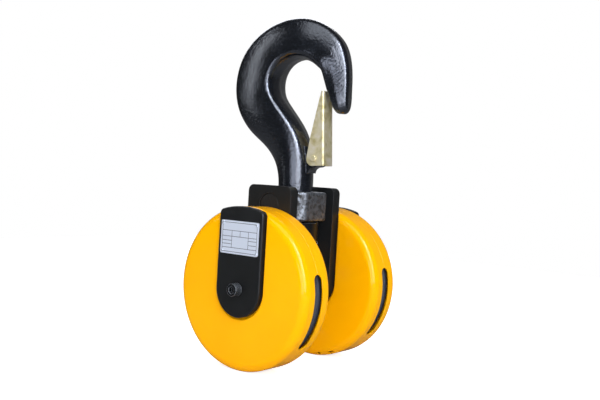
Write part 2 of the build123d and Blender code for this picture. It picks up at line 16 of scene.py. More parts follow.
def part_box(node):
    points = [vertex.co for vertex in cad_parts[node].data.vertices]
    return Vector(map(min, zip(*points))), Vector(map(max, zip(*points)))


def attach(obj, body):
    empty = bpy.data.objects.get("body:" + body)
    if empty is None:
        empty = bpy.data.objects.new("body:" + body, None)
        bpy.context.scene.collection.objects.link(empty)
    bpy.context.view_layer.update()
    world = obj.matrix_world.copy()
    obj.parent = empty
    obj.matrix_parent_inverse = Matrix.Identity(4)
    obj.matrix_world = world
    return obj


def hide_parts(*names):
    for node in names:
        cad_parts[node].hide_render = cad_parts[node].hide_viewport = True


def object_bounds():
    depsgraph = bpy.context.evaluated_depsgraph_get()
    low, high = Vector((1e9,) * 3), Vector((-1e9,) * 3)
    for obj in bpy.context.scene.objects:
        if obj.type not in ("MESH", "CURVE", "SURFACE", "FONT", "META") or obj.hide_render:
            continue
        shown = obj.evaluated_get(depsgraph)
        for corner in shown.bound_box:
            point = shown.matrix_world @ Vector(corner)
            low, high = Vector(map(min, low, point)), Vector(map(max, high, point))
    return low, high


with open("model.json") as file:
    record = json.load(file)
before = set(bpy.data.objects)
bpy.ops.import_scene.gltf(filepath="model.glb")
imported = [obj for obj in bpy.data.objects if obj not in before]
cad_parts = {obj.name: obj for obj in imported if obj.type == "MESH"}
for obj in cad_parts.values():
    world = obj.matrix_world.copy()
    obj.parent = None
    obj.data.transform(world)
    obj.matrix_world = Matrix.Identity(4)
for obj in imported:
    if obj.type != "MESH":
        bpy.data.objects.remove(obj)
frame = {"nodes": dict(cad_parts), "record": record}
nodes = frame["nodes"]
cad_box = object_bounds()
slot_of = {part["node"]: part["material_slot"] for part in frame["record"]["subparts"]}

# %% [markdown]
# ## Small helpers
# Colours are written as sRGB hex, the way a paint shop's screen shows them, and one function
# turns them to the linear values that shader sockets take. Every pattern is given by its real
# size in millimetres. A noise texture of scale 1 has features about 1 m wide here, because
# the scene is in metres, so a pattern's scale is 1000 over its size in millimetres. A noise
# could in principle give any value from 0 to 1, but nearly all of them lie near the middle,
# so a range that is spread over a noise starts and ends there.

# %% Colour, scale and node helpers
MM = 0.001
NOISE_LOW, NOISE_HIGH = 0.3, 0.7


def linear(hex_colour):
    """Linear RGBA of an sRGB hex colour."""
    channels = [int(hex_colour[i:i + 2], 16) / 255 for i in (1, 3, 5)]
    return tuple(c / 12.92 if c <= 0.04045 else ((c + 0.055) / 1.055) ** 2.4
                 for c in channels) + (1.0,)


def scale_for(size_mm):
    """Texture scale at which one feature is that many millimetres wide."""
    return 1000.0 / size_mm


def add_node(tree, kind, settings=None, values=None, links=None):
    """Adds a node, sets its attributes and socket values, and links its inputs."""
    node = tree.nodes.new(kind)
    for name, value in (settings or {}).items():
        setattr(node, name, value)
    for name, value in (values or {}).items():
        node.inputs[name].default_value = value
    for name, output in (links or {}).items():
        tree.links.new(output, node.inputs[name])
    return node


def new_finish(name, values):
    """A material with one Principled shader, and the coordinates its patterns start from."""
    material = bpy.data.materials.new(name)
    material.use_nodes = True
    tree = material.node_tree
    tree.nodes.clear()
    shader = add_node(tree, "ShaderNodeBsdfPrincipled", values=values)
    add_node(tree, "ShaderNodeOutputMaterial", links={"Surface": shader.outputs["BSDF"]})
    place = add_node(tree, "ShaderNodeTexCoord").outputs["Object"]
    return material, tree, shader, place


def feed(tree, shader, links):
    """Links a pattern's outputs to the shader's sockets."""
    for name, output in links.items():
        tree.links.new(output, shader.inputs[name])


print("helpers ready")

# %% [markdown]
# ## Edges that catch the light
# No real edge is sharp. Paint rounds it by about half a millimetre, and that narrow round is
# what draws a bright line along every plate. A Bevel modifier could cut the round into the
# mesh, but the CAD meshes aren't touched, and the Bevel node rounds only the shading, which
# is enough at this size. Where its normal leaves the true one there is an edge, so a finish
# that wears on its edges compares the two for a mask.

# %% Rounded normals and a mask for worn edges
EDGE_SAMPLES = 6
FLAT_MATCH, EDGE_MATCH = 0.995, 0.85


def soft_edge(tree, radius_mm):
    """The surface's normal, rounded over edges by that radius."""
    rounded = add_node(tree, "ShaderNodeBevel", {"samples": EDGE_SAMPLES},
                       {"Radius": radius_mm * MM})
    return rounded.outputs["Normal"]


def worn_edges(tree, rounded):
    """A mask that goes from 0 on flat ground to 1 where the rounded normal has turned away."""
    true_normal = add_node(tree, "ShaderNodeNewGeometry").outputs["Normal"]
    match = add_node(tree, "ShaderNodeVectorMath", {"operation": "DOT_PRODUCT"},
                     links={0: rounded, 1: true_normal})
    mask = add_node(tree, "ShaderNodeMapRange",
                    values={"From Min": FLAT_MATCH, "From Max": EDGE_MATCH},
                    links={"Value": match.outputs["Value"]})
    return mask.outputs["Result"]


finishes = {}
print("edge helpers ready")

# %% [markdown]
# ## Black enamel over a forging: the hook
# The hook is drop forged, so scale and die wear leave its skin slightly pitted and wavy. It
# is then dipped or sprayed in black enamel, a pigment under a clear, glossy skin. One glossy
# layer could do, but the pigment is duller than the skin over it, so the skin is the shader's
# coat. The result is a deep black with long, cold highlights that break up at their rims.
# The bump could be sculpted, but the mesh is CAD's, so two noises make it: one for the waves
# and one for the pits. Real pits are about a millimetre wide, which is too fine to show, so
# they are drawn three times as wide. A third noise changes the gloss in patches.

# %% Finish: forged black
WAVE_WIDTH, WAVE_DEPTH = 20, 0.3
PIT_WIDTH, PIT_DEPTH = 3.0, 0.35
GLOSS_PATCH = 14


def forged_black():
    material, tree, shader, place = new_finish(
        "black_enamel_on_forging", {"IOR": 1.5, "Specular IOR Level": 1.0,
                                    "Specular Tint": linear("#dfe8ff"), "Coat Weight": 1.0,
                                    "Coat Roughness": 0.18, "Coat IOR": 1.8})
    edge = soft_edge(tree, radius_mm=0.8)
    patches = add_node(tree, "ShaderNodeTexNoise",
                       values={"Scale": scale_for(GLOSS_PATCH), "Detail": 3.0},
                       links={"Vector": place})
    gloss = add_node(tree, "ShaderNodeMapRange",
                     values={"From Min": NOISE_LOW, "From Max": NOISE_HIGH,
                             "To Min": 0.18, "To Max": 0.27},
                     links={"Value": patches.outputs["Fac"]})
    tint = add_node(tree, "ShaderNodeMix", {"data_type": "RGBA"},
                    {"A": linear("#05070a"), "B": linear("#0b0f14")},
                    {"Factor": patches.outputs["Fac"]})
    waves = add_node(tree, "ShaderNodeTexNoise",
                     values={"Scale": scale_for(WAVE_WIDTH), "Detail": 1.0},
                     links={"Vector": place})
    pits = add_node(tree, "ShaderNodeTexNoise",
                    values={"Scale": scale_for(PIT_WIDTH), "Detail": 2.0, "Roughness": 0.55},
                    links={"Vector": place})
    wavy = add_node(tree, "ShaderNodeBump",
                    values={"Strength": 1.0, "Distance": WAVE_DEPTH * MM},
                    links={"Height": waves.outputs["Fac"], "Normal": edge})
    pitted = add_node(tree, "ShaderNodeBump",
                      values={"Strength": 1.0, "Distance": PIT_DEPTH * MM},
                      links={"Height": pits.outputs["Fac"], "Normal": wavy.outputs["Normal"]})
    feed(tree, shader, {"Roughness": gloss.outputs["Result"],
                        "Base Color": tint.outputs["Result"],
                        "Normal": pitted.outputs["Normal"],
                        "Coat Normal": pitted.outputs["Normal"]})
    return material


finishes["forged_black"] = forged_black()
print("made", finishes["forged_black"].name)

# %% [markdown]
# ## Satin black paint: side plates and straps
# These are flame or laser cut plates with a plain satin paint. Sprayed paint dries with a
# faint orange peel about a millimetre across. Handling polishes it in patches and rubs its
# edges grey. One noise could drive both, but the peel is twenty times finer than the
# patches, so each has its own. The eye gets flat, nearly black faces with soft reflections.

# %% Finish: satin black plate
HANDLED_PATCH = 26
PEEL_WIDTH, PEEL_DEPTH = 1.2, 0.012


def plate_black():
    material, tree, shader, place = new_finish(
        "satin_black_paint", {"IOR": 1.5, "Specular IOR Level": 0.42})
    edge = soft_edge(tree, radius_mm=0.7)
    handling = add_node(tree, "ShaderNodeTexNoise",
                        values={"Scale": scale_for(HANDLED_PATCH), "Detail": 4.0},
                        links={"Vector": place})
    gloss = add_node(tree, "ShaderNodeMapRange",
                     values={"From Min": NOISE_LOW, "From Max": NOISE_HIGH,
                             "To Min": 0.34, "To Max": 0.5},
                     links={"Value": handling.outputs["Fac"]})
    tint = add_node(tree, "ShaderNodeMix", {"data_type": "RGBA"},
                    {"A": linear("#131414"), "B": linear("#1a1b1b")},
                    {"Factor": handling.outputs["Fac"]})
    rubbed = add_node(tree, "ShaderNodeMix", {"data_type": "RGBA"}, {"B": linear("#3a3b3d")},
                      {"Factor": worn_edges(tree, edge), "A": tint.outputs["Result"]})
    peel = add_node(tree, "ShaderNodeTexNoise",
                    values={"Scale": scale_for(PEEL_WIDTH), "Detail": 1.0},
                    links={"Vector": place})
    skin = add_node(tree, "ShaderNodeBump",
                    values={"Strength": 1.0, "Distance": PEEL_DEPTH * MM},
                    links={"Height": peel.outputs["Fac"], "Normal": edge})
    feed(tree, shader, {"Roughness": gloss.outputs["Result"],
                        "Base Color": rubbed.outputs["Result"],
                        "Normal": skin.outputs["Normal"]})
    return material


finishes["plate_black"] = plate_black()
print("made", finishes["plate_black"].name)

# %% [markdown]
# ## Yellow powder coat: the casings
# The casings are pressed from 1.6 mm sheet and powder coated. Powder melts into a thick,
# glossy, slightly wavy skin. Its waves are wide, some 5 mm, and very shallow, so they only
# make the edges of reflections swim. Its colour is a warm signal yellow that drifts a shade
# over centimetres. A coat could carry the gloss as on the hook, but here pigment and skin
# are one layer, and a low roughness is enough.

# %% Finish: casing yellow
SHADE_DRIFT = 45
SWIM_WIDTH, SWIM_DEPTH = 5, 0.02


def casing_yellow():
    material, tree, shader, place = new_finish(
        "yellow_powder_coat", {"IOR": 1.5, "Specular IOR Level": 0.36})
    edge = soft_edge(tree, radius_mm=0.9)
    drift = add_node(tree, "ShaderNodeTexNoise",
                     values={"Scale": scale_for(SHADE_DRIFT), "Detail": 3.0},
                     links={"Vector": place})
    tint = add_node(tree, "ShaderNodeMix", {"data_type": "RGBA"},
                    {"A": linear("#fdac00"), "B": linear("#feb602")},
                    {"Factor": drift.outputs["Fac"]})
    gloss = add_node(tree, "ShaderNodeMapRange",
                     values={"From Min": NOISE_LOW, "From Max": NOISE_HIGH,
                             "To Min": 0.04, "To Max": 0.08},
                     links={"Value": drift.outputs["Fac"]})
    swim = add_node(tree, "ShaderNodeTexNoise",
                    values={"Scale": scale_for(SWIM_WIDTH), "Detail": 1.0},
                    links={"Vector": place})
    skin = add_node(tree, "ShaderNodeBump",
                    values={"Strength": 1.0, "Distance": SWIM_DEPTH * MM},
                    links={"Height": swim.outputs["Fac"], "Normal": edge})
    feed(tree, shader, {"Roughness": gloss.outputs["Result"],
                        "Base Color": tint.outputs["Result"],
                        "Normal": skin.outputs["Normal"]})
    return material


finishes["casing_yellow"] = casing_yellow()
print("made", finishes["casing_yellow"].name)

# %% [markdown]
# ## Forged steel, bare and oiled: the crosshead
# The crosshead keeps its forging skin. Scale comes off in flakes, so bright grey steel and
# dark scale lie side by side in patches of a few millimetres. A Voronoi texture could draw
# patches, but with straight sides, so one distorted noise draws them ragged. The same noise
# gives the patches their relief and makes the scale duller than the steel, and a finer one
# adds the grain. The two round ends lie in the side plates and were painted over with them,
# so past a certain depth the crosshead is black.

# %% Finish: forged crosshead
TRUNNION_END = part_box("crosshead")[1].y
PAINTED_DEPTH = 2
FLAKE_WIDTH, FLAKE_DEPTH = 6, 0.12
SCALE_ENDS, STEEL_STARTS = 0.38, 0.62
GRAIN_WIDTH, GRAIN_DEPTH = 1.1, 0.05


def crosshead_forged():
    material, tree, shader, place = new_finish(
        "oiled_forged_steel", {"IOR": 1.5, "Specular IOR Level": 0.42})
    edge = soft_edge(tree, radius_mm=1.2)
    scale_flakes = add_node(tree, "ShaderNodeTexNoise",
                            values={"Scale": scale_for(FLAKE_WIDTH), "Detail": 5.0,
                                    "Roughness": 0.55, "Distortion": 0.6},
                            links={"Vector": place})
    flakes = add_node(tree, "ShaderNodeMapRange",
                      values={"From Min": SCALE_ENDS, "From Max": STEEL_STARTS},
                      links={"Value": scale_flakes.outputs["Fac"]})
    tint = add_node(tree, "ShaderNodeMix", {"data_type": "RGBA"},
                    {"A": linear("#5c5a58"), "B": linear("#a6abb1")},
                    {"Factor": flakes.outputs["Result"]})
    rubbed = add_node(tree, "ShaderNodeMix", {"data_type": "RGBA"}, {"B": linear("#a3a6aa")},
                      {"Factor": worn_edges(tree, edge), "A": tint.outputs["Result"]})
    gloss = add_node(tree, "ShaderNodeMapRange", values={"To Min": 0.72, "To Max": 0.5},
                     links={"Value": flakes.outputs["Result"]})
    grain = add_node(tree, "ShaderNodeTexNoise",
                     values={"Scale": scale_for(GRAIN_WIDTH), "Detail": 2.0},
                     links={"Vector": place})
    ragged = add_node(tree, "ShaderNodeBump",
                      values={"Strength": 1.0, "Distance": FLAKE_DEPTH * MM},
                      links={"Height": scale_flakes.outputs["Fac"], "Normal": edge})
    skin = add_node(tree, "ShaderNodeBump",
                    values={"Strength": 1.0, "Distance": GRAIN_DEPTH * MM},
                    links={"Height": grain.outputs["Fac"], "Normal": ragged.outputs["Normal"]})
    depth = add_node(tree, "ShaderNodeSeparateXYZ", links={"Vector": place})
    outward = add_node(tree, "ShaderNodeMath", {"operation": "ABSOLUTE"},
                       links={0: depth.outputs["Y"]})
    painted = add_node(tree, "ShaderNodeMath", {"operation": "GREATER_THAN"},
                       {1: TRUNNION_END - PAINTED_DEPTH * MM}, {0: outward.outputs[0]})
    coloured = add_node(tree, "ShaderNodeMix", {"data_type": "RGBA"}, {"B": linear("#171818")},
                        {"Factor": painted.outputs[0], "A": rubbed.outputs["Result"]})
    bare = add_node(tree, "ShaderNodeMath", {"operation": "SUBTRACT"}, {0: 1.0},
                    {1: painted.outputs[0]})
    feed(tree, shader, {"Metallic": bare.outputs[0],
                        "Roughness": gloss.outputs["Result"],
                        "Base Color": coloured.outputs["Result"],
                        "Normal": skin.outputs["Normal"]})
    return material


finishes["crosshead_forged"] = crosshead_forged()
print("made", finishes["crosshead_forged"].name)

# %% [markdown]
# ## Yellow passivated zinc: latch and pin
# Zinc plate dipped in a chromate bath takes a thin yellow film. The film's thickness changes
# from place to place, so its colour drifts between straw, cream and nearly white over
# centimetres. The shader's thin film could work such colours out, but it gives the whole
# rainbow, and a ramp with three stops holds them to the ones a fresh latch shows. The film
# scatters a part of the light, so the metal under it isn't wholly a mirror. Zinc's crystals,
# some 2 mm across, leave it satin.

# %% Finish: zinc yellow
FILM_DRIFT = 18
SPANGLE_WIDTH, SPANGLE_DEPTH = 2.2, 0.01


def zinc_yellow():
    material, tree, shader, place = new_finish(
        "yellow_passivated_zinc", {"Metallic": 0.78, "IOR": 1.5})
    edge = soft_edge(tree, radius_mm=0.4)
    film = add_node(tree, "ShaderNodeTexNoise",
                    values={"Scale": scale_for(FILM_DRIFT), "Detail": 2.0, "Distortion": 1.2},
                    links={"Vector": place})
    tint = add_node(tree, "ShaderNodeValToRGB", links={"Fac": film.outputs["Fac"]})
    stops = tint.color_ramp.elements
    stops[0].position, stops[0].color = NOISE_LOW, linear("#d8c98c")
    stops[1].position, stops[1].color = NOISE_HIGH, linear("#fdf3dc")
    middle = stops.new((NOISE_LOW + NOISE_HIGH) / 2)
    middle.color = linear("#f2e6ba")
    spangle = add_node(tree, "ShaderNodeTexNoise",
                       values={"Scale": scale_for(SPANGLE_WIDTH), "Detail": 3.0},
                       links={"Vector": place})
    gloss = add_node(tree, "ShaderNodeMapRange",
                     values={"From Min": NOISE_LOW, "From Max": NOISE_HIGH,
                             "To Min": 0.4, "To Max": 0.55},
                     links={"Value": spangle.outputs["Fac"]})
    skin = add_node(tree, "ShaderNodeBump",
                    values={"Strength": 1.0, "Distance": SPANGLE_DEPTH * MM},
                    links={"Height": spangle.outputs["Fac"], "Normal": edge})
    feed(tree, shader, {"Roughness": gloss.outputs["Result"],
                        "Base Color": tint.outputs["Color"],
                        "Normal": skin.outputs["Normal"]})
    return material


finishes["zinc_yellow"] = zinc_yellow()
print("made", finishes["zinc_yellow"].name)

# %% [markdown]
# ## Machined metals
# Nut, axle, spacers, bearings, cage and spring are turned, ground or drawn, and the sheaves
# are cast and greased. All of them are metal with a fine grain and a film of oil, and differ
# in tint, gloss and grain. Each could have a tree of its own, but one function makes the
# family from a line of a table. Tool marks are about a tenth of a millimetre apart, too fine
# to show, so the grain is drawn at about a millimetre. Grease hides a part of the iron, so
# the sheaves are only half metallic.

# %% Finish: machined metals
OIL_DRIFT = 12
TOOL_MARK_DEPTH = 0.012
METALS = {  # slot: (name, dark, bright, smoothest, roughest, grain in mm, metallic)
    "machined_steel": ("turned_steel_oiled", "#5a5d60", "#7b7e82", 0.3, 0.45, 1.0, 1.0),
    "bright_steel": ("ground_bearing_steel", "#b5b8bb", "#cfd1d4", 0.15, 0.25, 0.6, 1.0),
    "spring_steel": ("drawn_spring_wire", "#8d8f92", "#a9abad", 0.25, 0.35, 0.6, 1.0),
    "cage_brass": ("machined_brass", "#b08c45", "#cda75c", 0.25, 0.4, 0.8, 1.0),
    "sheave_iron": ("greased_cast_iron", "#4b515c", "#626975", 0.4, 0.6, 1.4, 0.5),
}


def machined_metal(name, dark, bright, smoothest, roughest, grain_mm, metallic):
    material, tree, shader, place = new_finish(name, {"Metallic": metallic})
    edge = soft_edge(tree, radius_mm=0.4)
    oil = add_node(tree, "ShaderNodeTexNoise",
                   values={"Scale": scale_for(OIL_DRIFT), "Detail": 4.0},
                   links={"Vector": place})
    tint = add_node(tree, "ShaderNodeMix", {"data_type": "RGBA"},
                    {"A": linear(dark), "B": linear(bright)}, {"Factor": oil.outputs["Fac"]})
    gloss = add_node(tree, "ShaderNodeMapRange",
                     values={"From Min": NOISE_LOW, "From Max": NOISE_HIGH,
                             "To Min": smoothest, "To Max": roughest},
                     links={"Value": oil.outputs["Fac"]})
    grain = add_node(tree, "ShaderNodeTexNoise",
                     values={"Scale": scale_for(grain_mm), "Detail": 2.0},
                     links={"Vector": place})
    skin = add_node(tree, "ShaderNodeBump",
                    values={"Strength": 1.0, "Distance": TOOL_MARK_DEPTH * MM},
                    links={"Height": grain.outputs["Fac"], "Normal": edge})
    feed(tree, shader, {"Roughness": gloss.outputs["Result"],
                        "Base Color": tint.outputs["Result"],
                        "Normal": skin.outputs["Normal"]})
    return material


for slot, recipe in METALS.items():
    finishes[slot] = machined_metal(*recipe)
    print("made", finishes[slot].name)

# %% [markdown]
# ## Black oxide: the cap screws
# Cap screws come black oxidised and oiled. The oxide is a conversion of the steel itself, so
# it is half way between paint and metal, with a low sheen. It could be one dark colour all
# over, but spanners and keys rub it off the head's rims and the socket's corners, and those
# bright lines are what shows a screw's shape from afar.

# %% Finish: black oxide
OIL_SPOT = 5


def screw_black():
    material, tree, shader, place = new_finish("black_oxide", {"Metallic": 0.75, "IOR": 1.5})
    edge = soft_edge(tree, radius_mm=0.8)
    oil = add_node(tree, "ShaderNodeTexNoise",
                   values={"Scale": scale_for(OIL_SPOT), "Detail": 3.0},
                   links={"Vector": place})
    tint = add_node(tree, "ShaderNodeMix", {"data_type": "RGBA"},
                    {"A": linear("#1f2123"), "B": linear("#303336")},
                    {"Factor": oil.outputs["Fac"]})
    rubbed = add_node(tree, "ShaderNodeMix", {"data_type": "RGBA"}, {"B": linear("#d2d7dc")},
                      {"Factor": worn_edges(tree, edge), "A": tint.outputs["Result"]})
    gloss = add_node(tree, "ShaderNodeMapRange", values={"To Min": 0.3, "To Max": 0.45},
                     links={"Value": oil.outputs["Fac"]})
    feed(tree, shader, {"Roughness": gloss.outputs["Result"],
                        "Base Color": rubbed.outputs["Result"],
                        "Normal": edge})
    return material


finishes["screw_black"] = screw_black()
print("made", finishes["screw_black"].name)

# %% [markdown]
# ## Printed aluminium: the rating plate
# Such a plate is thin anodised aluminium with a printed form of ruled boxes. Here the boxes
# stay empty. The rules could be thin solids, but ink has no thickness worth showing, so nodes
# draw them: a line is where the distance from a ruled position is under half a line's width,
# and a box's end limits it. The positions are millimetres from the plate's middle.

# %% Where the plate's rules lie
plate_low, plate_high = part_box("rating_plate")
plate_middle = (plate_low + plate_high) / 2
RULE_WIDTH = 0.6
FORM_SIDE, FORM_TOP = 27, 17.6
HEAD_FOOT, BODY_TOP, BODY_FOOT = 8, 1, -12.6
BOX_LEFT, BOX_RIGHT, HEAD_SPLIT = -12, 14, 1
LEVEL_RULES = (  # (height, left end, right end)
    (FORM_TOP, -FORM_SIDE, FORM_SIDE), (HEAD_FOOT, -FORM_SIDE, FORM_SIDE),
    (BODY_FOOT, -FORM_SIDE, FORM_SIDE), (-FORM_TOP, -FORM_SIDE, FORM_SIDE),
    (BODY_TOP, -FORM_SIDE, FORM_SIDE),
    (-4, -FORM_SIDE, BOX_LEFT), (-8.3, -FORM_SIDE, BOX_LEFT),
    (-2.7, BOX_RIGHT, FORM_SIDE), (-7.8, BOX_RIGHT, FORM_SIDE))
UPRIGHT_RULES = (  # (place from left to right, lower end, upper end)
    (-FORM_SIDE, -FORM_TOP, FORM_TOP), (FORM_SIDE, -FORM_TOP, FORM_TOP),
    (BOX_LEFT, BODY_FOOT, HEAD_FOOT), (BOX_RIGHT, BODY_FOOT, HEAD_FOOT),
    (HEAD_SPLIT, BODY_TOP, HEAD_FOOT))


def ruled_line(tree, across, along, position_mm, start_mm, end_mm):
    """1 on a ruled line at a position, between a start and an end, in mm from the middle."""
    near = add_node(tree, "ShaderNodeMath", {"operation": "COMPARE"},
                    {1: position_mm * MM, 2: RULE_WIDTH / 2 * MM}, {0: across})
    inside = add_node(tree, "ShaderNodeMath", {"operation": "COMPARE"},
                      {1: (start_mm + end_mm) / 2 * MM, 2: (end_mm - start_mm) / 2 * MM},
                      {0: along})
    both = add_node(tree, "ShaderNodeMath", {"operation": "MULTIPLY"},
                    links={0: near.outputs[0], 1: inside.outputs[0]})
    return both.outputs[0]


print("rules:", len(LEVEL_RULES) + len(UPRIGHT_RULES))

# %% [markdown]
# ## The plate's brushed ground
# The sheet is brushed from side to side before it is anodised, so its gloss runs in lines. A
# noise that is stretched along them draws such brushing without an image. Real lines are a
# twentieth of a millimetre apart, too fine to show, so they are drawn ten times as coarse.

# %% Finish: ruled aluminium plate
BRUSHED_SPACING = 0.5
BRUSHED_STRETCH = (0.02, 1.0, 1.0)


def label_aluminium():
    material, tree, shader, place = new_finish(
        "printed_anodised_aluminium", {"Metallic": 0.35, "IOR": 1.5})
    edge = soft_edge(tree, radius_mm=0.3)
    centred = add_node(tree, "ShaderNodeMapping", values={"Location": -plate_middle},
                       links={"Vector": place})
    axes = add_node(tree, "ShaderNodeSeparateXYZ", links={"Vector": centred.outputs["Vector"]})
    x, z = axes.outputs["X"], axes.outputs["Z"]
    rules = [ruled_line(tree, z, x, *rule) for rule in LEVEL_RULES]
    rules += [ruled_line(tree, x, z, *rule) for rule in UPRIGHT_RULES]
    ink = rules[0]
    for rule in rules[1:]:
        ink = add_node(tree, "ShaderNodeMath", {"operation": "MAXIMUM"},
                       links={0: ink, 1: rule}).outputs[0]
    brushed = add_node(tree, "ShaderNodeMapping", values={"Scale": BRUSHED_STRETCH},
                       links={"Vector": place})
    lines = add_node(tree, "ShaderNodeTexNoise",
                     values={"Scale": scale_for(BRUSHED_SPACING), "Detail": 2.0},
                     links={"Vector": brushed.outputs["Vector"]})
    tint = add_node(tree, "ShaderNodeMix", {"data_type": "RGBA"},
                    {"A": linear("#d3dae5"), "B": linear("#e1e6ef")},
                    {"Factor": lines.outputs["Fac"]})
    printed = add_node(tree, "ShaderNodeMix", {"data_type": "RGBA"},
                       {"B": linear("#4a4f57")}, {"Factor": ink, "A": tint.outputs["Result"]})
    gloss = add_node(tree, "ShaderNodeMapRange", values={"To Min": 0.35, "To Max": 0.5},
                     links={"Value": lines.outputs["Fac"]})
    feed(tree, shader, {"Roughness": gloss.outputs["Result"],
                        "Base Color": printed.outputs["Result"],
                        "Normal": edge})
    return material


finishes["label_aluminium"] = label_aluminium()
print("made", finishes["label_aluminium"].name)

# %% [markdown]
# ## Give every CAD node its finish
# The record says which finish each node has. A material could go on the mesh, but that
# belongs to the CAD model, so it goes on the object's own slots and the mesh isn't touched.

# %% Assign the finishes
for name, node in nodes.items():
    if not node.material_slots:
        node.data.materials.append(None)
    for holder in node.material_slots:
        holder.link = "OBJECT"
        holder.material = finishes[slot_of[name]]
print("finished nodes:", len(nodes))

# %% [markdown]
# ## Socket cap screws with knurled heads
# The straps are held on by two cap screws, and the lock plate by two small ones. Their heads
# have a chamfered rim, a knurl that fingers can grip and a hexagon socket with a drilled
# point. The knurl is too fine for CAD. It could be one ridge and an array of copies, but
# those would have to be joined again. Instead a circle of many points is extruded up ring by
# ring, and every second point of the knurled rings is drawn in. The socket's hexagon has as
# many points as the circle, so the two loops bridge cleanly. Depths are shares of the head's
# height, and widths are shares of a neighbouring ring. Up to the rim, the rises of the rings
# add up to the height.

# %% The rings of a cap screw head
KNURLS = 36
SOCKET_POINTS = 2 * KNURLS
HEXAGON = 6
KNURL_DEPTH = 0.035
KNURL_RATIO = 1 - KNURL_DEPTH
FOOT_RATIO, TOP_RATIO, DISH_RATIO, DRILL_RATIO = 0.97, 0.93, 0.8, 0.02
CHAMFER_SHARE, SOCKET_SHARE, DRILL_SHARE = 0.08, 0.5, 0.12


def next_ring(mesh, edges, rise, radius_ratio=1.0, groove_ratio=1.0):
    """Extrudes a ring of edges upwards and scales it; every second point may go further in."""
    made = bmesh.ops.extrude_edge_only(mesh, edges=edges)["geom"]
    points = [g for g in made if isinstance(g, bmesh.types.BMVert)]
    bmesh.ops.translate(mesh, verts=points, vec=(0, 0, rise))
    bmesh.ops.scale(mesh, verts=points, vec=(radius_ratio, radius_ratio, 1))
    grooves = [p for p in points if round(math.atan2(p.co.y, p.co.x) / math.pi * KNURLS) % 2]
    bmesh.ops.scale(mesh, verts=grooves, vec=(groove_ratio, groove_ratio, 1))
    return [g for g in made if isinstance(g, bmesh.types.BMEdge)]


def screw_head(radius, height, socket_across):
    """A knurled head on Z = 0, its socket up."""
    mesh = bmesh.new()
    chamfer = CHAMFER_SHARE * height
    bmesh.ops.create_circle(mesh, segments=SOCKET_POINTS, radius=radius * FOOT_RATIO)
    bottom = mesh.edges[:]
    ring = next_ring(mesh, bottom, chamfer / 2, 1 / FOOT_RATIO)
    ring = next_ring(mesh, ring, chamfer / 2, groove_ratio=KNURL_RATIO)
    ring = next_ring(mesh, ring, height - 3 * chamfer)
    ring = next_ring(mesh, ring, chamfer / 2, groove_ratio=1 / KNURL_RATIO)
    ring = next_ring(mesh, ring, 1.5 * chamfer, TOP_RATIO)
    dished = next_ring(mesh, ring, 0.0, DISH_RATIO)
    hexagon = bmesh.ops.create_circle(mesh, segments=HEXAGON,
                                      radius=socket_across / math.sqrt(3))
    sides = list({edge for point in hexagon["verts"] for edge in point.link_edges})
    split = bmesh.ops.subdivide_edges(mesh, edges=sides, cuts=SOCKET_POINTS // HEXAGON - 1)
    socket = [g for g in split["geom_split"] if isinstance(g, bmesh.types.BMEdge)]
    rim = list({point for edge in socket for point in edge.verts})
    bmesh.ops.translate(mesh, verts=rim, vec=(0, 0, height))
    bmesh.ops.bridge_loops(mesh, edges=dished + socket)
    floor = next_ring(mesh, socket, -SOCKET_SHARE * height)
    drill = next_ring(mesh, floor, -DRILL_SHARE * height, DRILL_RATIO)
    bmesh.ops.contextual_create(mesh, geom=drill)
    bmesh.ops.contextual_create(mesh, geom=bottom)
    bmesh.ops.recalc_face_normals(mesh, faces=mesh.faces)
    return mesh


print("a head has", SOCKET_POINTS, "points round")

# %% [markdown]
# ## The axle's screws
# One cap screw closes each end of the axle, with its head against the strap. The CAD screw
# could stay under the new head, but the two would show through each other, so the new heads
# replace it. Each is turned so that its socket looks away from the block.

# %% Build the axle's screw heads
AXLE_SOCKET = 8


def add_piece(name, mesh, body, slot):
    """Makes a finished mesh an object of its own, with its place in its mesh."""
    data = bpy.data.meshes.new(name)
    mesh.to_mesh(data)
    mesh.free()
    piece = bpy.data.objects.new(name, data)
    bpy.context.scene.collection.objects.link(piece)
    data.materials.append(finishes[slot])
    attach(piece, body)
    return piece


screw_low, screw_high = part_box("axle_screws")
head_radius = (screw_high.x - screw_low.x) / 2
axle_line = (screw_low.z + screw_high.z) / 2
for name, strap_face, outwards in (
        ("axle_screw_head_near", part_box("strap_near")[0].y, math.pi / 2),
        ("axle_screw_head_far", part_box("strap_far")[1].y, -math.pi / 2)):
    head_height = abs(screw_low.y) - abs(strap_face)
    head = screw_head(head_radius, head_height, AXLE_SOCKET * MM)
    stand = Matrix.Translation((0, strap_face, axle_line)) @ Matrix.Rotation(outwards, 4, "X")
    bmesh.ops.transform(head, matrix=stand, verts=head.verts)
    piece = add_piece(name, head, "frame", "screw_black")
    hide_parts("axle_screws")
    print(name, "faces:", len(piece.data.polygons))

# %% [markdown]
# ## The lock plate's screws
# The same head in small, pointing down, holds the lock plate up in the shank's end. The two
# screws lie on a line that is turned with the hook. Their places could be written down, but
# the box of the CAD screws gives both the line and their distance.

